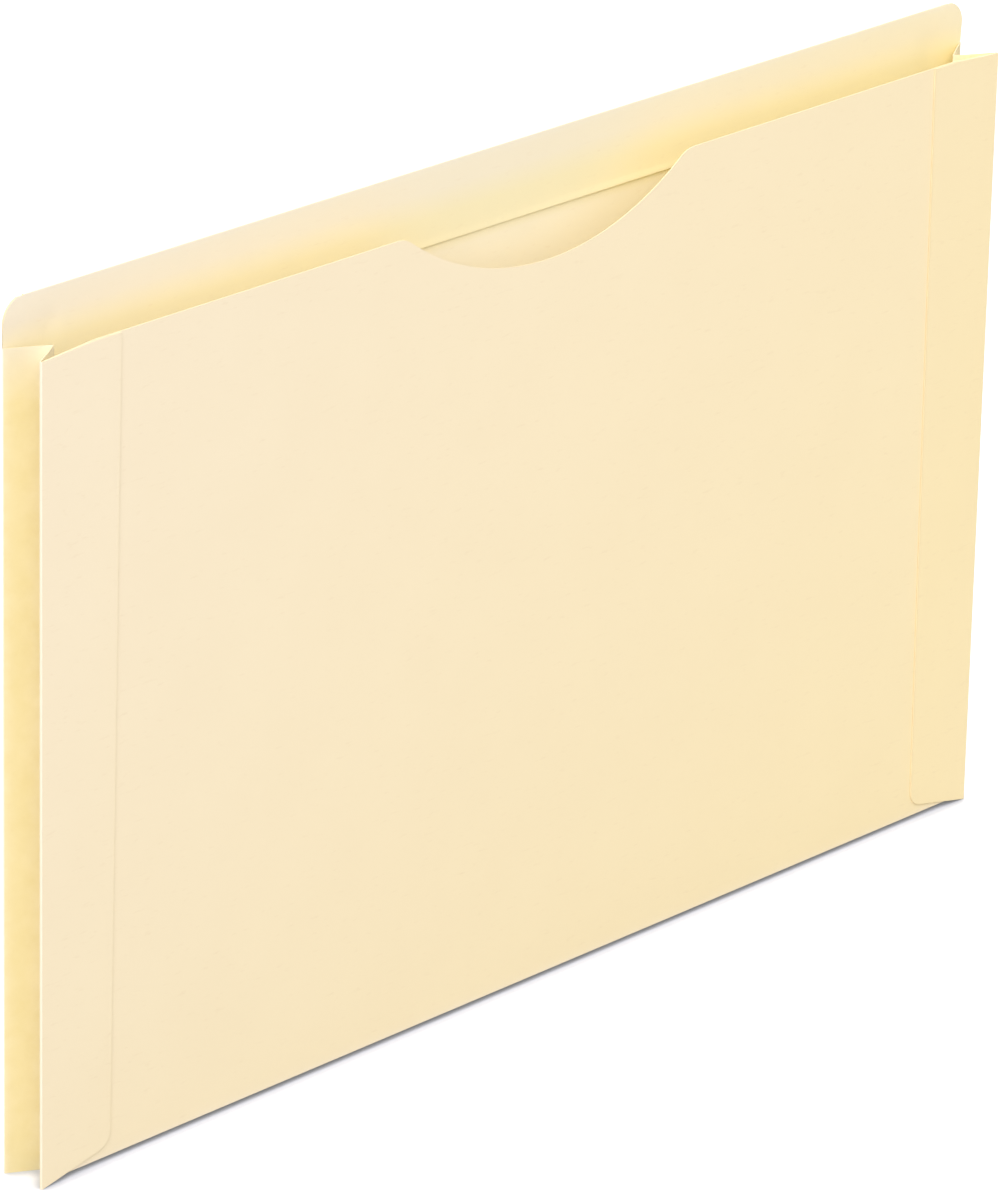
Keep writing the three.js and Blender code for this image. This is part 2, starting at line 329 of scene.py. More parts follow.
class JacketStage(bpy.types.PropertyGroup):
    """The camera, the studio light and the floor."""

    camera_place: bpy.props.FloatVectorProperty(
        name="Camera Place",
        description="Where the camera stands",
        default=(-1461.68 * MM, -1328.88 * MM, 886.96 * MM),
        subtype="TRANSLATION",
        unit="LENGTH",
    )
    camera_yaw: bpy.props.FloatProperty(
        name="Camera Yaw",
        description="Turn of the camera from +Y towards +X",
        default=math.radians(47.5645),
        subtype="ANGLE",
    )
    camera_pitch: bpy.props.FloatProperty(
        name="Camera Pitch",
        description="How far the camera looks down",
        default=math.radians(21.4372),
        subtype="ANGLE",
    )
    camera_roll: bpy.props.FloatProperty(
        name="Camera Roll",
        description="Turn of the camera about its line of sight",
        default=math.radians(-1.3122),
        subtype="ANGLE",
    )
    camera_lens: bpy.props.FloatProperty(
        name="Camera Lens",
        description="Focal length on a 36 mm sensor, in millimetres",
        default=234.08,
    )
    key_strength: bpy.props.FloatProperty(
        name="Key Strength",
        description="Strength of the main soft lamp",
        default=2.3,
    )
    side_strength: bpy.props.FloatProperty(
        name="Side Strength",
        description="Strength of the low lamp that shines into the left pleat",
        default=0.25,
    )
    fill_strength: bpy.props.FloatProperty(
        name="Fill Strength",
        description="Strength of the soft lamp behind the jacket",
        default=1.8,
    )
    room_strength: bpy.props.FloatProperty(
        name="Room Strength",
        description="Strength of the even light of the room",
        default=0.832,
    )
    key_from: bpy.props.FloatVectorProperty(
        name="Key Direction",
        description="Where the main lamp shines from: the front left, and above",
        default=(-0.6, -0.5, 0.75),
        subtype="DIRECTION",
    )
    side_from: bpy.props.FloatVectorProperty(
        name="Side Direction",
        description="Where the low lamp shines from: the left",
        default=(-0.9, -0.3, 0.4),
        subtype="DIRECTION",
    )
    fill_from: bpy.props.FloatVectorProperty(
        name="Fill Direction",
        description="Where the rear lamp shines from: the back right",
        default=(0.65, 0.6, 0.5),
        subtype="DIRECTION",
    )
    lamp_spread: bpy.props.FloatProperty(
        name="Lamp Spread",
        description="The angle that each lamp fills in the sky, for its softness",
        default=math.radians(50),
        subtype="ANGLE",
    )
    lamp_tint: bpy.props.FloatVectorProperty(
        name="Lamp Tint",
        description="Colour of the lamps and the room, close to white",
        default=(0.97, 0.955, 1.0),
        subtype="COLOR",
    )
    floor_reach: bpy.props.FloatProperty(
        name="Floor Reach",
        description="How far the floor reaches from the object to each side",
        default=8,
        unit="LENGTH",
    )
    floor_lift: bpy.props.FloatProperty(
        name="Floor Lift",
        description="Even white that the camera sees on top of the floor's own tone",
        default=0.11,
        subtype="FACTOR",
    )
    contact_reach: bpy.props.FloatProperty(
        name="Contact Reach",
        description="How far the shade at the object's foot spreads on the floor",
        default=5.5 * MM,
        unit="LENGTH",
    )


# Node groups and materials

COLOR = "NodeSocketColor"
NUMBER = "NodeSocketFloat"
WHITE = (1, 1, 1, 1)

# Noise scales of the stock, in cells per metre
CLOUD_SCALE = 45
FLECK_SCALE = 900
FELT_SCALE = 420
TOOTH_SCALE = 2600
PATCH_SCALE = 160

# The part of each noise that becomes a mask, and the range of the roughness
MIDDLE_BAND = (0.3, 0.7)
FLECK_BAND = (0.62, 0.8)
ROUGHNESS_BAND = (0.62, 0.74)

LEAST_PATCH = 0.5
CLOUD_SHARE = 0.25
GRAIN_STRETCH = (0.25, 1, 1)
TOOTH_HEIGHT = 0.05 * MM

# The heights where a tone starts, going down, and where it is complete
ALL_HEIGHTS = (TOP, TABLE)
PLY_HEIGHTS = (TOP - 7 * MM, FRONT_TOP - 3 * MM)
INSIDE_HEIGHTS = (PLY_FOOT, PLY_FOOT - 3 * MM)
PLEAT_HEIGHTS = (GUSSET_TOP, GUSSET_TOP - 15 * MM)

# A colour painted on the stock as light or shade, and its shares across and down the object
Tone = namedtuple("Tone", "color across down heights")


def new_group(name, inputs, outputs):
    """A node group with its sockets: inputs gives each one's default, a number or
    a colour, and outputs each one's kind."""
    group = bpy.data.node_groups.new(name, "ShaderNodeTree")
    new_socket = group.interface.new_socket
    for title, value in inputs.items():
        kind = COLOR if isinstance(value, tuple) else NUMBER
        socket = new_socket(name=title, in_out="INPUT", socket_type=kind)
        socket.default_value = value
    for title, kind in outputs.items():
        new_socket(name=title, in_out="OUTPUT", socket_type=kind)
    return group


def feed(links, socket, value):
    """Links a socket to another one, or gives it a number or a colour."""
    if isinstance(value, bpy.types.NodeSocket):
        links.new(value, socket)
    elif socket.type == "RGBA":
        socket.default_value = (*value, 1)
    else:
        socket.default_value = value


def add_noise(nodes, links, vector, scale, detail, rough):
    noise = nodes.new("ShaderNodeTexNoise")
    noise.inputs["Scale"].default_value = scale
    noise.inputs["Detail"].default_value = detail
    noise.inputs["Roughness"].default_value = rough
    links.new(vector, noise.inputs["Vector"])
    return noise.outputs["Fac"]


def add_range(nodes, links, value, low, high, to_low, to_high):
    node = nodes.new("ShaderNodeMapRange")
    names = ("Value", "From Min", "From Max", "To Min", "To Max")
    for name, given in zip(names, (value, low, high, to_low, to_high)):
        feed(links, node.inputs[name], given)
    return node.outputs["Result"]


def add_math(nodes, links, operation, first, second):
    node = nodes.new("ShaderNodeMath")
    node.operation = operation
    feed(links, node.inputs[0], first)
    feed(links, node.inputs[1], second)
    return node.outputs["Value"]


def add_mix(nodes, links, factor, first, second):
    node = nodes.new("ShaderNodeMix")
    node.data_type = "RGBA"
    feed(links, node.inputs["Factor"], factor)
    feed(links, node.inputs["A"], first)
    feed(links, node.inputs["B"], second)
    return node.outputs["Result"]


def fibre_group():
    """Paper fibre: cloudy formation, fine flecks and a soft tooth."""
    name = "Manila Fibre"
    if name in bpy.data.node_groups:
        return bpy.data.node_groups[name]
    inputs = {"Stock": WHITE, "Fleck": (0.5, 0.4, 0.2, 1), "Cloud": 0.06, "Flecks": 0.3}
    outputs = {"Color": COLOR, "Roughness": NUMBER, "Height": NUMBER}
    group = new_group(name, inputs, outputs)
    nodes, links = group.nodes, group.links
    entry = nodes.new("NodeGroupInput").outputs
    leave = nodes.new("NodeGroupOutput").inputs
    place = nodes.new("ShaderNodeTexCoord").outputs["Object"]
    stretch = nodes.new("ShaderNodeMapping")
    stretch.inputs["Scale"].default_value = GRAIN_STRETCH
    links.new(place, stretch.inputs["Vector"])
    grain = stretch.outputs["Vector"]

    cloud = add_noise(nodes, links, place, CLOUD_SCALE, detail=3, rough=0.5)
    cloud = add_range(nodes, links, cloud, *MIDDLE_BAND, 0, 1)
    cloud = add_math(nodes, links, "MULTIPLY", cloud, entry["Cloud"])
    fleck = add_noise(nodes, links, grain, FLECK_SCALE, detail=2, rough=0.6)
    fleck = add_range(nodes, links, fleck, *FLECK_BAND, 0, 1)
    fleck = add_math(nodes, links, "MULTIPLY", fleck, entry["Flecks"])
    mask = add_math(nodes, links, "ADD", cloud, fleck)
    color = add_mix(nodes, links, mask, entry["Stock"], entry["Fleck"])
    links.new(color, leave["Color"])

    tooth = add_noise(nodes, links, place, TOOTH_SCALE, detail=2, rough=0.6)
    felt = add_noise(nodes, links, grain, FELT_SCALE, detail=3, rough=0.55)
    height = add_math(nodes, links, "ADD", tooth, felt)
    links.new(height, leave["Height"])
    roughness = add_range(nodes, links, felt, *MIDDLE_BAND, *ROUGHNESS_BAND)
    links.new(roughness, leave["Roughness"])
    return group


def painted_shading_group():
    """Painted light and shade: a slow change of the stock's colour across it and down it."""
    name = "Painted Stock Shading"
    if name in bpy.data.node_groups:
        return bpy.data.node_groups[name]
    inputs = {"Stock": WHITE, "Toned": WHITE, "Across": 0.6, "Down": 0.4}
    inputs.update({"High": TOP, "Low": TABLE})
    group = new_group(name, inputs, {"Color": COLOR})
    nodes, links = group.nodes, group.links
    entry = nodes.new("NodeGroupInput").outputs
    leave = nodes.new("NodeGroupOutput").inputs
    split = nodes.new("ShaderNodeSeparateXYZ")
    place = nodes.new("ShaderNodeTexCoord").outputs["Object"]
    links.new(place, split.inputs["Vector"])
    height = split.outputs["Z"]
    across = add_range(nodes, links, split.outputs["X"], -OUTER_X, OUTER_X, 0, 1)
    across = add_math(nodes, links, "MULTIPLY", across, entry["Across"])
    down = add_range(nodes, links, height, entry["Low"], entry["High"], 1, 0)
    down = add_math(nodes, links, "MULTIPLY", down, entry["Down"])
    mask = add_math(nodes, links, "ADD", across, down)
    color = add_mix(nodes, links, mask, entry["Stock"], entry["Toned"])
    links.new(color, leave["Color"])
    return group


def wear_and_shading_group():
    """A patchy tint where the mesh marks a fold, an edge or a paler part: fold wear, and painted
    highlights, shadow and light.
    """
    name = "Fold Wear And Painted Shading"
    if name in bpy.data.node_groups:
        return bpy.data.node_groups[name]
    inputs = {"Color": WHITE, "Worn": WHITE, "Amount": 0.5}
    group = new_group(name, inputs, {"Color": COLOR})
    nodes, links = group.nodes, group.links
    entry = nodes.new("NodeGroupInput").outputs
    leave = nodes.new("NodeGroupOutput").inputs
    place = nodes.new("ShaderNodeTexCoord").outputs["Object"]
    mark = nodes.new("ShaderNodeAttribute")
    mark.attribute_name = MARK
    patchy = add_noise(nodes, links, place, PATCH_SCALE, detail=3, rough=0.6)
    patchy = add_range(nodes, links, patchy, *MIDDLE_BAND, LEAST_PATCH, 1)
    mask = add_math(nodes, links, "MULTIPLY", mark.outputs["Fac"], patchy)
    mask = add_math(nodes, links, "MULTIPLY", mask, entry["Amount"])
    color = add_mix(nodes, links, mask, entry["Color"], entry["Worn"])
    links.new(color, leave["Color"])
    return group


def paper(name, colors, stock, tones, worn, wear_and_painted_shading=0.5, bump=0.25, flecks=0.12):
    """A manila finish: the stock with its painted light and shade, fibre, worn and painted
    marks, and a fine bump.
    """
    if name in bpy.data.materials:
        return bpy.data.materials[name]
    material = bpy.data.materials.new(name)
    material.use_nodes = True
    nodes, links = material.node_tree.nodes, material.node_tree.links
    shader = nodes["Principled BSDF"]
    shader.inputs["Specular IOR Level"].default_value = 0.25
    shader.inputs["Sheen Weight"].default_value = 0.08
    shader.inputs["Sheen Roughness"].default_value = 0.6

    def add_group(tree, **values):
        node = nodes.new("ShaderNodeGroup")
        node.node_tree = tree
        for socket, value in values.items():
            feed(links, node.inputs[socket], value)
        return node.outputs

    color = stock
    for tone in tones:
        high, low = tone.heights
        painted_tone = add_group(
            painted_shading_group(),
            Stock=color,
            Toned=tone.color,
            Across=tone.across,
            Down=tone.down,
            High=high,
            Low=low,
        )
        color = painted_tone["Color"]
    fibre = add_group(
        fibre_group(),
        Stock=color,
        Fleck=colors.fleck,
        Cloud=flecks * CLOUD_SHARE,
        Flecks=flecks,
    )
    tint = add_group(wear_and_shading_group(), Color=fibre["Color"], Worn=worn, Amount=wear_and_painted_shading)
    links.new(tint["Color"], shader.inputs["Base Color"])
    links.new(fibre["Roughness"], shader.inputs["Roughness"])
    relief = nodes.new("ShaderNodeBump")
    relief.inputs["Strength"].default_value = bump
    relief.inputs["Distance"].default_value = TOOTH_HEIGHT
    links.new(fibre["Height"], relief.inputs["Height"])
    links.new(relief.outputs["Normal"], shader.inputs["Normal"])
    return material


def faded(color, share=0.3):
    """The colour, part of the way to a grey as light as its lightest part."""
    return [part + (max(color) - part) * share for part in color]


def painted_light_drift(colors, across=0.62):
    """Painted light and shade: the stock is painted paler at the upper left and warmer towards
    the lower right, as the light falls off.
    """
    return [Tone(colors.painted_tone, across=across, down=0.38, heights=ALL_HEIGHTS)]


def panel_finish(colors):
    stock = colors.panel
    return paper("Manila Panel", colors, stock, painted_light_drift(colors), faded(stock), wear_and_painted_shading=0.6)


def inside_shading_finish(colors):
    """The tab's face, and below it the faces that look into the jacket, painted yellower towards
    the ply's free edge and the right as shade, and brighter below the ply as painted light.
    """
    stock = colors.tab
    lower = Tone(colors.ply_foot_shade, across=0, down=1, heights=PLY_HEIGHTS)
    deep = Tone(colors.inside, across=0, down=1, heights=INSIDE_HEIGHTS)
    right = Tone(colors.tab_right_shading, across=0.3, down=0, heights=ALL_HEIGHTS)
    return paper("Manila Inside Shading", colors, stock, [lower, deep, right], faded(stock))


def flap_finish(colors):
    # The flap's marked free edge gets a painted shadow
    tones = painted_light_drift(colors, across=0.8)
    return paper("Manila Flap", colors, colors.panel, tones, colors.flap_edge_shadow, wear_and_painted_shading=1)


def pleat_finish(colors):
    # Painted shading: paler at the pleats' open top, darker below it and all over on the right
    # pleat, and paler beside the folds
    stock = colors.pleat_top_light
    lower = Tone(colors.pleat, across=1, down=1, heights=PLEAT_HEIGHTS)
    return paper("Manila Pleat", colors, stock, [lower], colors.pleat_fold_light, wear_and_painted_shading=0.9)


# The folds are painted paler all round: fold wear and a painted highlight where the round fold
# catches the light
def fold_finish(colors):
    stock = colors.panel
    return paper("Manila Fold", colors, stock, painted_light_drift(colors), faded(stock), bump=0.35)


# Cut edges get a painted shade
def cut_edge_shade_finish(colors):
    stock = colors.edge
    return paper("Manila Cut Edge Shade", colors, stock, (), stock, bump=0.6, flecks=0.4)


def glue_finish(colors):
    stock = colors.glue
    return paper("Dried Glue", colors, stock, (), stock, bump=0.5, flecks=0.4)


def sheet_finishes(colors, outer_finish):
    """The finishes of a sheet's outer face, its cut edges and its inner face."""
    return [outer_finish(colors), cut_edge_shade_finish(colors), inside_shading_finish(colors)]


# Mesh tools

# The places of a sheet's or fold's finishes in its list of materials
FACE, CUT_EDGE, INNER_FACE = range(3)

# A flat sheet's face counts as a cut edge if its normal rises less than this
EDGE_RISE = 0.5


def arc(centre, radius, start, end, steps=20):
    """Points on an arc from one angle to another, each (x, y)."""
    points = []
    for step in range(steps + 1):
        turn = start + (end - start) * step / steps
        x = centre[0] + radius * math.cos(turn)
        points.append((x, centre[1] + radius * math.sin(turn)))
    return points


def even_cuts(low, high, grid):
    """Lines at an even distance, near grid, between two ends."""
    count = max(1, round((high - low) / grid))
    return [low + (high - low) * step / count for step in range(1, count)]


def span(low, high, grid):
    """The same lines, with both ends."""
    return [low] + even_cuts(low, high, grid) + [high]


def smooth(low, high, value):
    """0 below low, 1 above high, and a smooth rise between them."""
    share = min(1, max(0, (value - low) / (high - low)))
    return share * share * (3 - 2 * share)


def fading(distance, reach):
    """1 at a line, and less with the distance from it."""
    return math.exp(-distance / reach)


def link_piece(name, bm, materials):
    bmesh.ops.recalc_face_normals(bm, faces=bm.faces[:])
    for face in bm.faces:
        face.smooth = True
    for edge in bm.edges:
        finishes = {face.material_index for face in edge.link_faces}
        edge.smooth = len(finishes) == 1
    mesh = bpy.data.meshes.new(name)
    bm.to_mesh(mesh)
    bm.free()
    for material in materials:
        mesh.materials.append(material)
    piece = bpy.data.objects.new(name, mesh)
    bpy.context.scene.collection.objects.link(piece)
    return piece


def cut_grid(bm, cuts):
    """Cuts a flat face along lines of even u, and along lines of even v."""
    for axis, values in enumerate(cuts):
        normal = Vector((0, 0, 0))
        normal[axis] = 1
        for value in values:
            bmesh.ops.bisect_plane(
                bm,
                geom=bm.verts[:] + bm.edges[:] + bm.faces[:],
                dist=1e-7,
                plane_co=normal * value,
                plane_no=normal,
            )
    many = [face for face in bm.faces if len(face.verts) > 4]
    bmesh.ops.triangulate(bm, faces=many)


def sheet_piece(name, outline, cuts, place, lift, wear_and_painted_shading, materials):
    """One ply: a flat outline, cut into a grid, given its thickness and then put
    in its place. place turns (u, v, depth) into a point, lift gives how far the
    ply stands out of its plane there, and wear how far its finish is tinted."""
    bm = bmesh.new()
    bm.faces.new([bm.verts.new((u, v, 0)) for u, v in outline])
    cut_grid(bm, cuts)
    made = bmesh.ops.extrude_face_region(bm, geom=bm.faces[:])["geom"]
    for vert in made:
        if isinstance(vert, bmesh.types.BMVert):
            vert.co.z = STOCK
    bm.normal_update()
    inner = INNER_FACE if len(materials) > INNER_FACE else FACE
    for face in bm.faces:
        level_finish = inner if face.normal.z < 0 else FACE
        is_edge = abs(face.normal.z) < EDGE_RISE
        face.material_index = CUT_EDGE if is_edge else level_finish
    mark = bm.verts.layers.float.new(MARK)
    for vert in bm.verts:
        u, v, depth = vert.co
        vert[mark] = wear_and_painted_shading(u, v)
        vert.co = place(u, v, depth + lift(u, v))
    return link_piece(name, bm, materials)


def fold_piece(name, section, place, lines, colors):
    """A fold: a closed section of (a, b) points carried along its fold line."""
    bm = bmesh.new()
    mark = bm.verts.layers.float.new(MARK)
    rings = []
    for along in lines:
        ring = [bm.verts.new(place(a, b, along)) for a, b in section]
        for vert in ring:
            vert[mark] = 1
        rings.append(ring)
    for near, far in zip(rings, rings[1:]):
        for index in range(len(near)):
            follow = (index + 1) % len(near)
            bm.faces.new((near[index], near[follow], far[follow], far[index]))
    for ring in (rings[0], rings[-1]):
        bm.faces.new(ring).material_index = CUT_EDGE
    return link_piece(name, bm, [fold_finish(colors), cut_edge_shade_finish(colors)])


def pie(start, end):
    """A round sector of the stock's thickness between two angles."""
    return [(0, 0)] + arc((0, 0), STOCK, start, end, steps=14)


def angle_of(vector):
    return math.atan2(vector[1], vector[0])


def after(start, angle):
    """The same angle, turned up to a full turn past start."""
    while angle < start:
        angle += 2 * math.pi
    return angle


def stand(piece, body, slot, *nodes):
    """Joins a piece to its body and hides the nodes that it stands for; its slot is not used."""
    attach(piece, body)
    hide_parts(*nodes)


# The pleats' geometry, in the plane across a fold

# A pleat half: its fold line and middle line, its directions along it and through
# it, and its length
Half = namedtuple("Half", "fold middle along through reach")


def pleat_half(fold, middle, outward):
    """A pleat half between two lines. outward points to the pleat's open side."""
    across = middle - fold
    length = across.length
    along = across / length
    through = Vector((-along.y, along.x))
    if through.dot(outward) < 0:
        through = -through
    tilt = math.asin(STOCK / length)
    turned = along * math.cos(tilt) - through * math.sin(tilt)
    normal = through * math.cos(tilt) + along * math.sin(tilt)
    return Half(fold, middle, turned, normal, length * math.cos(tilt))


def side_half(side, face):
    """A half of a side pleat, in X and Y."""
    fold = Vector((side * FOLD_X, FOLD_Y[face]))
    middle = Vector((side * MID_X, MID_Y))
    return pleat_half(fold, middle, Vector((side, 0)))


def bottom_half(face):
    """A half of the bottom pleat, in Y and Z."""
    fold = Vector((FOLD_Y[face], FOLD_Z))
    middle = Vector((MID_Y, MID_Z))
    return pleat_half(fold, middle, Vector((0, -1)))


# The panels' shapes, in X and Z

# Distances of the close mesh lines beside a fold, and beside a flap's free edge
FOLD_LINES = (0.5 * MM, 1.5 * MM, 3.5 * MM)
RIM_LINES = (0.2 * MM, 0.5 * MM, 0.8 * MM, 1.2 * MM, 1.8 * MM)

# Where the panels' faint waves start above the table and have their full height,
# and where they get lower and end towards the two sides
WAVE_START_Z = 16 * MM
WAVE_FULL_Z = 60 * MM
WAVE_FULL_X = 120 * MM
WAVE_END_X = 155 * MM

# The waves' sizes in X and Z, the share of the short ones, and each panel's phase
SHORT_WAVE = (38 * MM, 46 * MM)
LONG_WAVE = (71 * MM, 63 * MM)
SHORT_SHARE = 0.45
BACK_PHASE = 0.4
FRONT_PHASE = 1.9


def panel_foot(side_x):
    """The lower edge of a panel, from left to right."""
    return [
        (-side_x, PANEL_FOOT),
        (-CREASE_END, PANEL_FOOT),
        (-CREASE_END, FOLD_Z),
        (CREASE_END, FOLD_Z),
        (CREASE_END, PANEL_FOOT),
        (side_x, PANEL_FOOT),
    ]


def tab_top(sizes):
    """The tab's rounded corners, from right to left, up to its round fold."""
    radius = sizes.tab_corner
    fold_radius = STOCK + GLUE_LINE / 2
    height = TOP - radius
    end = math.asin((radius - fold_radius) / radius)
    right = arc((OUTER_X - radius, height), radius, 0, end)
    left = arc((radius - OUTER_X, height), radius, math.pi - end, math.pi)
    return right + left


def back_outline(sizes):
    step = GUSSET_TOP + CORNER_GAP
    points = panel_foot(FOLD_X)
    points += [(FOLD_X, step), (OUTER_X, step)]
    points += tab_top(sizes)
    points += [(-OUTER_X, step), (-FOLD_X, step)]
    return points


def tab_ply_outline(sizes):
    points = [(-STRIP_END, PLY_FOOT), (STRIP_END, PLY_FOOT)]
    points += [(STRIP_END, PLY_STEP), (OUTER_X, PLY_STEP)]
    points += tab_top(sizes)
    points += [(-OUTER_X, PLY_STEP), (-STRIP_END, PLY_STEP)]
    return points


def front_outline(sizes):
    """The front panel, with its lowered top corners and its thumb cut."""
    shoulder_x = OUTER_X - sizes.shoulder_run
    corner_top = GUSSET_TOP - CORNER_GAP
    large, small = sizes.thumb_radius, sizes.thumb_shoulder
    large_z = FRONT_TOP - sizes.thumb_depth + large
    small_z = FRONT_TOP - small
    drop = large_z - small_z
    small_x = math.sqrt((large + small) ** 2 - drop**2)
    lean = math.atan2(drop, small_x)
    points = panel_foot(PANEL_X)
    points += [(PANEL_X, corner_top), (shoulder_x, FRONT_TOP)]
    points += arc((small_x, small_z), small, QUARTER, math.pi - lean, steps=12)
    points += arc((0, large_z), large, -lean, lean - math.pi, steps=72)[1:-1]
    points += arc((-small_x, small_z), small, lean, QUARTER, steps=12)
    points += [(-shoulder_x, FRONT_TOP), (-PANEL_X, corner_top)]
    return points


def flap_outline(sizes):
    """A glue flap on the right: the left one mirrors it."""
    foot_x = OUTER_X - sizes.flap_foot_width
    shoulder_x = OUTER_X - sizes.shoulder_run
    rise = sizes.flap_foot_rise
    corner = sizes.flap_corner
    slant = math.atan2(rise, FOLD_X - foot_x)
    start = Vector((foot_x + corner * math.cos(slant), rise - corner * math.sin(slant)))
    middle = Vector((foot_x, rise))
    end = Vector((foot_x, rise + corner))
    points = [(FOLD_X, TABLE)]
    rounds = 10
    for step in range(rounds + 1):
        share = step / rounds
        first = start.lerp(middle, share)
        points.append(tuple(first.lerp(middle.lerp(end, share), share)))
    points += [(FLAP_TOP_X, FLAP_TOP), (shoulder_x, FLAP_TOP), (FOLD_X, GUSSET_TOP)]
    return points


def panel_cuts(sizes, side_x, top):
    """Mesh lines for a panel, closer together beside its folds."""
    columns = even_cuts(-side_x, side_x, sizes.grid)
    columns += [side * (side_x - step) for side in SIDES for step in FOLD_LINES]
    rows = even_cuts(PANEL_FOOT, top, sizes.grid)
    rows += [FOLD_Z + step for step in FOLD_LINES]
    return sorted(columns), sorted(rows)


def panel_wear_and_highlight(side_x):
    """Paler along a panel's side and bottom folds: fold wear and a painted highlight."""

    def wear_and_painted_shading(x, z):
        near = min(side_x - abs(x), z - PANEL_FOOT)
        return fading(max(0, near), PANEL_WEAR_AND_HIGHLIGHT)

    return wear_and_painted_shading


def wave_height(height, x, z):
    """The height of the waves at a place, which die out towards the flaps, the
    folds and the pleats."""
    sides = 1 - smooth(WAVE_FULL_X, WAVE_END_X, abs(x))
    return height * sides * smooth(WAVE_START_Z, WAVE_FULL_Z, z)


def panel_wave(height, phase):
    """Short and long waves, both faint, across a panel."""

    def wave(x, z):
        run, rise = SHORT_WAVE
        short = math.sin(x / run + phase) * math.cos(z / rise - phase)
        run, rise = LONG_WAVE
        long = math.cos(x / run - 2 * phase + z / rise)
        mixed = SHORT_SHARE * short + (1 - SHORT_SHARE) * long
        return wave_height(height, x, z) * mixed

    return wave


# Pieces

# Distances of the mesh lines of the tab's ply, its pressed ends and the pleats
PLY_GRID = 2 * MM
PRESS_GRID = 1 * MM
PLEAT_GRID = 1 * MM

# The back panel's waves end below the tab's ply
CALM_RUN = 30 * MM
CALM_Z = PLY_FOOT - 4 * MM

# The tab's ply is pressed thin at its two ends
PRESSED = 0.06
PRESS_X = GLUE_END - 5 * MM
PRESS_RISE = 8 * MM

# Its free edge stands off a little, and most on the right
LOOSE_RISE = 2.4 * MM
LOOSE_LEFT = -10 * MM
LOOSE_RIGHT = 70 * MM
LEAST_LOOSE = 0.35

# How far the marks reach from a panel's folds and the tab's top, where they are fold wear with a
# painted highlight, and from a flap's free edge
PANEL_WEAR_AND_HIGHLIGHT = 0.8 * MM
TAB_WEAR_AND_HIGHLIGHT = 1 * MM
# Painted shadow along a flap's free edge: its width, and its share on each side, full on the
# right and faint on the left
RIM_SHADOW_REACH = 0.7 * MM
RIM_SHADOW_SHARE = {LEFT: 0.1, RIGHT: 1}

# How pale a pleat half is painted beside its outer and middle folds, and how far: a painted
# highlight on the folds and painted light that lifts the shade deep in the groove
OUTER_PALE = 0.55
OUTER_REACH = 1.8 * MM
MIDDLE_PALE = 1.4
MIDDLE_REACH = 5 * MM


def make_back(sizes, colors):
    """The back panel, whose waves only lead inwards."""
    wave = panel_wave(sizes.panel_wave, BACK_PHASE)

    def lift(x, z):
        calm = 1 - smooth(CALM_Z - CALM_RUN, CALM_Z, z)
        return (wave(x, z) - wave_height(sizes.panel_wave, x, z)) * calm

    back = sheet_piece(
        "back_sheet",
        back_outline(sizes),
        panel_cuts(sizes, FOLD_X, TOP),
        lambda x, z, depth: (x, BACK_Y + depth, z),
        lift,
        panel_wear_and_highlight(FOLD_X),
        sheet_finishes(colors, panel_finish),
    )
    stand(back, "back", "panel_stock", "back_panel")


def make_tab(sizes, colors):
    def pressed(x, z):
        """The share of its full thickness that the ply keeps: it is pressed
        thin at its two ends, where no glue and no fold holds it off."""
        inside = 1 - smooth(PRESS_X, STRIP_END, abs(x))
        above = smooth(PLY_STEP, PLY_STEP + PRESS_RISE, z)
        return PRESSED + (1 - PRESSED) * max(inside, above)

    def place(x, z, depth):
        return (x, BACK_Y - (GLUE_LINE + depth) * pressed(x, z), z)

    def lift(x, z):
        loose = 1 - smooth(0, LOOSE_RISE, z - PLY_FOOT)
        share = LEAST_LOOSE + (1 - LEAST_LOOSE) * smooth(LOOSE_LEFT, LOOSE_RIGHT, x)
        return sizes.ply_lift * loose * share

    columns = even_cuts(-OUTER_X, OUTER_X, sizes.grid)
    for side in SIDES:
        columns += [side * x for x in even_cuts(PRESS_X, STRIP_END, PRESS_GRID)]
    rows = even_cuts(PLY_FOOT, TOP, PLY_GRID)
    rows += even_cuts(PLY_FOOT, PLY_FOOT + LOOSE_RISE, LOOSE_RISE / 4)
    ply = sheet_piece(
        "tab_folded_ply",
        tab_ply_outline(sizes),
        (sorted(columns), sorted(rows)),
        place,
        lift,
        lambda x, z: fading(TOP - z, TAB_WEAR_AND_HIGHLIGHT),
        [inside_shading_finish(colors), cut_edge_shade_finish(colors)],
    )
    stand(ply, "back", "panel_stock", "tab_front_ply")

    radius = STOCK + GLUE_LINE / 2
    centre = (BACK_Y + STOCK - radius, TOP - radius)
    end = OUTER_X - sizes.tab_corner
    fold = fold_piece(
        "tab_rolled_edge",
        arc(centre, radius, 0, math.pi, steps=16),
        lambda y, z, x: (x, y, z),
        span(-end, end, sizes.grid),
        colors,
    )
    stand(fold, "back", "crease_stock", "tab_top_fold")


def make_front(sizes, colors):
    front = sheet_piece(
        "front_sheet",
        front_outline(sizes),
        panel_cuts(sizes, PANEL_X, FRONT_TOP),
        lambda x, z, depth: (x, FRONT_Y - depth, z),
        panel_wave(sizes.panel_wave, FRONT_PHASE),
        panel_wear_and_highlight(PANEL_X),
        sheet_finishes(colors, panel_finish),
    )
    stand(front, "front", "panel_stock", "front_panel")


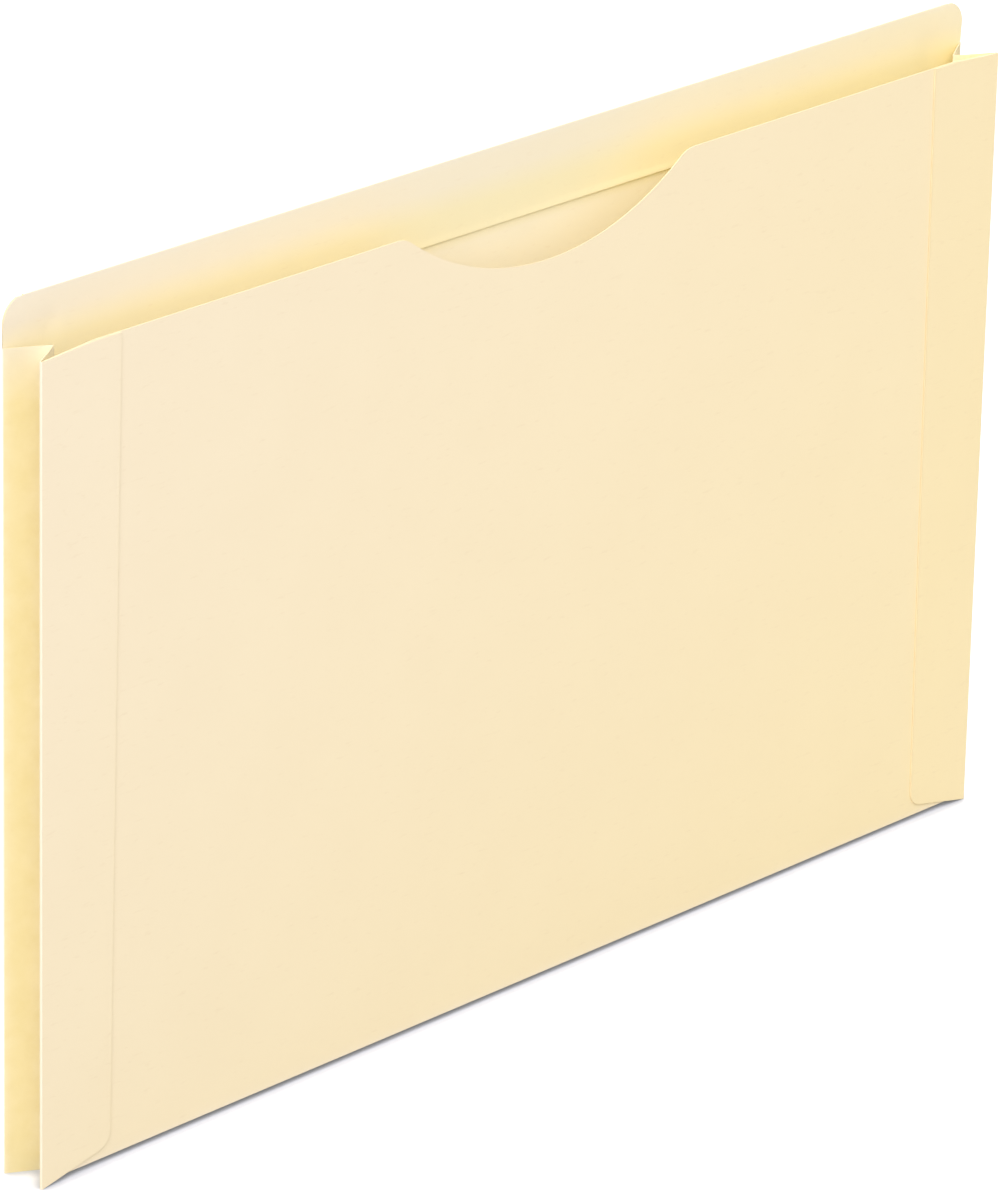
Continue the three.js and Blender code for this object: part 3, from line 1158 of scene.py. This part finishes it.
def make_flap(sizes, colors, side):
    """A glue flap, meshed along its slanted free edge, which has a painted shadow along it."""
    word = SIDE_WORD[side]
    foot_x = OUTER_X - sizes.flap_foot_width
    height = FLAP_TOP - sizes.flap_foot_rise

    def lean(z):
        return (FLAP_TOP_X - foot_x) * (z - sizes.flap_foot_rise) / height

    # Painted shadow along the free edge
    def rim(x, z):
        return RIM_SHADOW_SHARE[side] * math.exp(-(((abs(x) - foot_x) / RIM_SHADOW_REACH) ** 2))

    columns = even_cuts(side * FOLD_X, side * foot_x, sizes.grid)
    columns += [side * (foot_x + step) for step in RIM_LINES]
    flap = sheet_piece(
        word + "_flap_sheet",
        [(side * (x - lean(z)), z) for x, z in flap_outline(sizes)],
        (sorted(columns), even_cuts(TABLE, FLAP_TOP, sizes.grid)),
        lambda x, z, depth: (x + side * lean(z), FLAP_FRONT_Y + depth, z),
        lambda x, z: 0,
        rim,
        [flap_finish(colors), cut_edge_shade_finish(colors)],
    )
    stand(flap, "front", "flap_stock", word + "_glue_flap")


def pleat_bow(sizes, reach, along):
    """How far a pleat half bows out of its plane, most at its middle."""
    return -sizes.pleat_bow * math.sin(math.pi * along / reach) ** 2


def make_side_half(sizes, colors, side, face):
    """A half of a side pleat: a tall narrow sheet between two fold lines."""
    word = SIDE_WORD[side] + "_" + HALF_WORD[face]
    half = side_half(side, face)
    reach = half.reach

    def place(u, z, depth):
        point = half.fold + half.along * u + half.through * depth
        return (point.x, point.y, z)

    def pleat_painted_light(u, z):
        outer = OUTER_PALE * fading(u, OUTER_REACH)
        return outer + MIDDLE_PALE * fading(reach - u, MIDDLE_REACH)

    sheet = sheet_piece(
        word + "_pleat_sheet",
        [(0, TABLE), (reach, TABLE), (reach, GUSSET_TOP), (0, GUSSET_TOP)],
        (even_cuts(0, reach, PLEAT_GRID), even_cuts(TABLE, GUSSET_TOP, sizes.grid)),
        place,
        lambda u, z: pleat_bow(sizes, reach, u),
        pleat_painted_light,
        sheet_finishes(colors, pleat_finish),
    )
    stand(sheet, word + "_pleat", "pleat_stock", word + "_gusset")


def make_bottom_half(sizes, colors, face):
    """A half of the bottom pleat, its lower corners slanted past the sides."""
    word = "bottom_" + HALF_WORD[face]
    half = bottom_half(face)
    reach = half.reach
    slant = min(CREASE_END - STRIP_END, reach)

    def place(x, v, depth):
        point = half.fold + half.along * v + half.through * depth
        return (x, point.x, point.y)

    columns = even_cuts(-CREASE_END, CREASE_END, sizes.grid)
    sheet = sheet_piece(
        word + "_pleat_sheet",
        [
            (-CREASE_END, 0),
            (CREASE_END, 0),
            (CREASE_END - slant, slant),
            (STRIP_END, reach),
            (-STRIP_END, reach),
            (slant - CREASE_END, slant),
        ],
        (columns, even_cuts(0, reach, PLEAT_GRID)),
        place,
        lambda x, v: pleat_bow(sizes, reach, v),
        # Paler beside the bottom pleat's folds: a painted highlight
        lambda x, v: fading(min(v, reach - v), OUTER_REACH),
        sheet_finishes(colors, pleat_finish),
    )
    stand(sheet, word + "_pleat", "pleat_stock", word + "_strip")


def upright(centre):
    """Places a side fold's section, in X and Y from its fold line."""
    return lambda x, y, z: (centre.x + x, centre.y + y, z)


def level(centre):
    """Places a bottom fold's section, in Y and Z from its fold line."""
    return lambda y, z, x: (x, centre.x + y, centre.y + z)


def bend(piece, place, start, end, node):
    """Bakes a fold's place into its mesh and hides the node that it stands for. The points at
    its angles start and end are worked out but not used.
    """
    first, last = [
        place(STOCK * math.cos(angle), STOCK * math.sin(angle), 0)
        for angle in (start, end)
    ]
    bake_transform(piece)
    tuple(first)
    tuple(last)
    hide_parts(node)


def make_back_fold(sizes, colors, side):
    """The round fold from the back panel into a side pleat."""
    word = SIDE_WORD[side]
    half = side_half(side, REAR)
    start = QUARTER
    end = angle_of(half.through)
    if side == LEFT:
        end = after(start, end)
    place = upright(half.fold)
    lines = span(TABLE, GUSSET_TOP, sizes.grid)
    fold = fold_piece(word + "_back_fold", pie(start, end), place, lines, colors)
    bend(fold, place, start, end, word + "_back_crease")


def make_mid_fold(sizes, colors, side):
    """The inner fold between the halves of a side pleat. The left one is baked in
    place, and the right one rides on the rear half, as its solid does."""
    word = SIDE_WORD[side]
    rear, front = [side_half(side, face) for face in HALVES]
    start = angle_of(-rear.through)
    end = angle_of(-front.through)
    if side == LEFT:
        start, end = sorted((start, end), reverse=True)
    else:
        end = after(start, end)
    place = upright(rear.middle)
    lines = span(TABLE, GUSSET_TOP, sizes.grid)
    fold = fold_piece(word + "_mid_fold", pie(start, end), place, lines, colors)
    if side == LEFT:
        bend(fold, place, start, end, "left_mid_crease")
    else:
        stand(fold, "right_rear_pleat", "crease_stock", "right_mid_crease")


def make_front_fold(sizes, colors, side):
    """The fold that wraps the front panel's raw edge, from the pleat to the
    flap outside."""
    word = SIDE_WORD[side]
    half = side_half(side, FRONT)
    start = angle_of(half.through)
    outside = math.pi if side == LEFT else 0
    forward = outside - side * QUARTER
    corner = (0, FLAP_FRONT_Y + STOCK - FRONT_Y)
    section = arc((0, 0), STOCK, start, outside, steps=10)
    section += arc(corner, STOCK, outside, forward, steps=10)
    section += [corner, (0, 0)]
    place = upright(half.fold)
    lines = span(TABLE, GUSSET_TOP, sizes.grid)
    fold = fold_piece(word + "_front_fold", section, place, lines, colors)
    bend(fold, place, outside, start, word + "_front_crease")


def make_bottom_fold(sizes, colors, face):
    """The round fold from a panel into the bottom pleat."""
    panel = PANEL_WORD[face]
    half = bottom_half(face)
    start = 0 if face == REAR else -math.pi
    end = angle_of(half.through)
    place = level(half.fold)
    lines = span(-CREASE_END, CREASE_END, sizes.grid)
    name = "bottom_" + panel
    fold = fold_piece(name + "_fold", pie(start, end), place, lines, colors)
    bend(fold, place, start, end, name + "_crease")


def make_bottom_mid_fold(sizes, colors):
    """The upper fold between the halves of the bottom pleat."""
    rear, front = [bottom_half(face) for face in HALVES]
    section = pie(angle_of(-rear.through), angle_of(-front.through))
    lines = span(-STRIP_END, STRIP_END, sizes.grid)
    fold = fold_piece("bottom_mid_fold", section, level(rear.middle), lines, colors)
    stand(fold, "bottom_rear_pleat", "crease_stock", "bottom_mid_crease")


def dress_glue(colors):
    """The glue films keep their solids and get the finish of dried glue."""
    for name in ("tab_glue_film", "left_flap_glue_film", "right_flap_glue_film"):
        mesh = frame["nodes"][name].data
        mesh.materials.clear()
        mesh.materials.append(glue_finish(colors))


# Stage

SENSOR_WIDTH = 36

# The open share above the floor at which it is fully shaded, and fully clear
SHADED = 0.55
CLEAR = 0.92


def make_camera(stage):
    yaw, pitch, roll = stage.camera_yaw, stage.camera_pitch, stage.camera_roll
    forward = Vector(
        (
            math.sin(yaw) * math.cos(pitch),
            math.cos(yaw) * math.cos(pitch),
            -math.sin(pitch),
        )
    )
    level_right = Vector((math.cos(yaw), -math.sin(yaw), 0))
    level_down = forward.cross(level_right)
    right = level_right * math.cos(roll) + level_down * math.sin(roll)
    down = level_down * math.cos(roll) - level_right * math.sin(roll)
    data = bpy.data.cameras.new("Camera")
    data.sensor_width = SENSOR_WIDTH
    data.lens = stage.camera_lens
    data.clip_start = 0.1
    data.clip_end = 50
    camera = bpy.data.objects.new("Camera", data)
    turn = Matrix((right, -down, -forward)).transposed().to_4x4()
    camera.matrix_world = Matrix.Translation(stage.camera_place) @ turn
    bpy.context.scene.collection.objects.link(camera)
    bpy.context.scene.camera = camera


def make_lamp(stage, name, strength, direction):
    """A soft lamp that shines from the direction."""
    data = bpy.data.lights.new(name, "SUN")
    data.energy = strength
    data.angle = stage.lamp_spread
    data.color = stage.lamp_tint
    lamp = bpy.data.objects.new(name, data)
    towards = Vector(direction)
    lamp.rotation_euler = towards.to_track_quat("Z", "Y").to_euler()
    lamp.location = towards.normalized()
    bpy.context.scene.collection.objects.link(lamp)


def seen(nodes, links):
    """1 on rays from the camera, a reflection or a clear surface."""
    path = nodes.new("ShaderNodeLightPath")
    names = ("Is Camera Ray", "Is Glossy Ray", "Is Transmission Ray")
    camera, glossy, clear = [path.outputs[name] for name in names]
    either = add_math(nodes, links, "MAXIMUM", camera, glossy)
    return add_math(nodes, links, "MAXIMUM", either, clear)


def make_room(stage):
    """An even room light that the camera and reflections see as plain white."""
    world = bpy.data.worlds.new("Room")
    bpy.context.scene.world = world
    world.use_nodes = True
    nodes, links = world.node_tree.nodes, world.node_tree.links
    nodes.clear()
    out = nodes.new("ShaderNodeOutputWorld")
    mix = nodes.new("ShaderNodeMixShader")
    room = nodes.new("ShaderNodeBackground")
    room.inputs["Strength"].default_value = stage.room_strength
    room.inputs["Color"].default_value = (*stage.lamp_tint, 1)
    white = nodes.new("ShaderNodeBackground")
    white.inputs["Color"].default_value = WHITE
    links.new(seen(nodes, links), mix.inputs["Fac"])
    links.new(room.outputs["Background"], mix.inputs[1])
    links.new(white.outputs["Background"], mix.inputs[2])
    links.new(mix.outputs["Shader"], out.inputs["Surface"])


def make_floor(stage, colors):
    """A wide plain floor whose open parts look white, with its shadows kept."""
    half = stage.floor_reach
    mesh = bpy.data.meshes.new("Floor")
    corners = [(-half, -half), (half, -half), (half, half), (-half, half)]
    mesh.from_pydata([(x, y, TABLE) for x, y in corners], [], [(0, 1, 2, 3)])
    floor = bpy.data.objects.new("Floor", mesh)
    bpy.context.scene.collection.objects.link(floor)
    material = bpy.data.materials.new("Studio Floor")
    material.use_nodes = True
    nodes, links = material.node_tree.nodes, material.node_tree.links
    shader = nodes["Principled BSDF"]
    shader.inputs["Roughness"].default_value = 0.9
    shader.inputs["Specular IOR Level"].default_value = 0
    shader.inputs["Emission Color"].default_value = WHITE
    # Painted contact shadow: the floor's colour darkens where the object closes off the nearby
    # sky
    near = nodes.new("ShaderNodeAmbientOcclusion")
    near.samples = 8
    near.inputs["Distance"].default_value = stage.contact_reach
    clear = add_range(nodes, links, near.outputs["AO"], SHADED, CLEAR, 0, 1)
    in_view = seen(nodes, links)
    shown = add_mix(nodes, links, clear, colors.contact, colors.floor)
    base = add_mix(nodes, links, in_view, colors.floor_bounce, shown)
    links.new(base, shader.inputs["Base Color"])
    lift = add_math(nodes, links, "MULTIPLY", in_view, stage.floor_lift)
    links.new(lift, shader.inputs["Emission Strength"])
    mesh.materials.append(material)


class JACKET_OT_stage(bpy.types.Operator):
    """Sets the camera, the lamps, the room light and the floor"""

    bl_idname = "jacket.stage"
    bl_label = "Stage"

    def execute(self, context):
        stage = context.scene.jacket_stage
        context.scene.view_settings.view_transform = "Standard"
        make_camera(stage)
        make_room(stage)
        make_floor(stage, context.scene.jacket_colors)
        make_lamp(stage, "Key", stage.key_strength, stage.key_from)
        make_lamp(stage, "Side", stage.side_strength, stage.side_from)
        make_lamp(stage, "Fill", stage.fill_strength, stage.fill_from)
        return {"FINISHED"}


class JACKET_OT_back(bpy.types.Operator):
    """Makes the back panel's sheet"""

    bl_idname = "jacket.back"
    bl_label = "Back Panel"

    def execute(self, context):
        make_back(context.scene.jacket_sizes, context.scene.jacket_colors)
        return {"FINISHED"}


class JACKET_OT_tab(bpy.types.Operator):
    """Makes the tab's folded ply and its rolled top edge"""

    bl_idname = "jacket.tab"
    bl_label = "Tab"

    def execute(self, context):
        make_tab(context.scene.jacket_sizes, context.scene.jacket_colors)
        return {"FINISHED"}


class JACKET_OT_front(bpy.types.Operator):
    """Makes the front panel's sheet with its thumb cut"""

    bl_idname = "jacket.front"
    bl_label = "Front Panel"

    def execute(self, context):
        make_front(context.scene.jacket_sizes, context.scene.jacket_colors)
        return {"FINISHED"}


class JACKET_OT_flaps(bpy.types.Operator):
    """Makes the two glue flaps on the front"""

    bl_idname = "jacket.flaps"
    bl_label = "Glue Flaps"

    def execute(self, context):
        for side in SIDES:
            make_flap(context.scene.jacket_sizes, context.scene.jacket_colors, side)
        return {"FINISHED"}


class JACKET_OT_pleats(bpy.types.Operator):
    """Makes the halves of the side and bottom pleats"""

    bl_idname = "jacket.pleats"
    bl_label = "Pleats"

    def execute(self, context):
        sizes, colors = context.scene.jacket_sizes, context.scene.jacket_colors
        for face in HALVES:
            for side in SIDES:
                make_side_half(sizes, colors, side, face)
            make_bottom_half(sizes, colors, face)
        return {"FINISHED"}


class JACKET_OT_folds(bpy.types.Operator):
    """Makes the round folds between the panels, pleats and flaps"""

    bl_idname = "jacket.folds"
    bl_label = "Folds"

    def execute(self, context):
        sizes, colors = context.scene.jacket_sizes, context.scene.jacket_colors
        for side in SIDES:
            make_back_fold(sizes, colors, side)
            make_mid_fold(sizes, colors, side)
            make_front_fold(sizes, colors, side)
        for face in HALVES:
            make_bottom_fold(sizes, colors, face)
        make_bottom_mid_fold(sizes, colors)
        return {"FINISHED"}


class JACKET_OT_glue(bpy.types.Operator):
    """Gives the glue films their finish"""

    bl_idname = "jacket.glue"
    bl_label = "Glue Films"

    def execute(self, context):
        dress_glue(context.scene.jacket_colors)
        return {"FINISHED"}


class JACKET_PT_panel(bpy.types.Panel):
    """Lists the steps that make the jacket"""

    bl_label = "File Jacket"
    bl_idname = "JACKET_PT_panel"
    bl_space_type = "VIEW_3D"
    bl_region_type = "UI"
    bl_category = "Jacket"

    def draw(self, context):
        for operator in OPERATORS:
            self.layout.operator(operator.bl_idname)
        scene = context.scene
        for group in (scene.jacket_sizes, scene.jacket_colors, scene.jacket_stage):
            for name in group.__annotations__:
                self.layout.prop(group, name)


OPERATORS = (
    JACKET_OT_stage,
    JACKET_OT_back,
    JACKET_OT_tab,
    JACKET_OT_front,
    JACKET_OT_flaps,
    JACKET_OT_pleats,
    JACKET_OT_folds,
    JACKET_OT_glue,
)
GROUPS = (JacketSizes, JacketColors, JacketStage)


def register():
    for cls in GROUPS + OPERATORS + (JACKET_PT_panel,):
        bpy.utils.register_class(cls)
    bpy.types.Scene.jacket_sizes = bpy.props.PointerProperty(type=JacketSizes)
    bpy.types.Scene.jacket_colors = bpy.props.PointerProperty(type=JacketColors)
    bpy.types.Scene.jacket_stage = bpy.props.PointerProperty(type=JacketStage)


def unregister():
    del bpy.types.Scene.jacket_stage
    del bpy.types.Scene.jacket_colors
    del bpy.types.Scene.jacket_sizes
    for cls in reversed(GROUPS + OPERATORS + (JACKET_PT_panel,)):
        bpy.utils.unregister_class(cls)


def main():
    register()
    for operator in OPERATORS:
        group, name = operator.bl_idname.split(".")
        getattr(getattr(bpy.ops, group), name)()


if __name__ == "__main__":
    main()
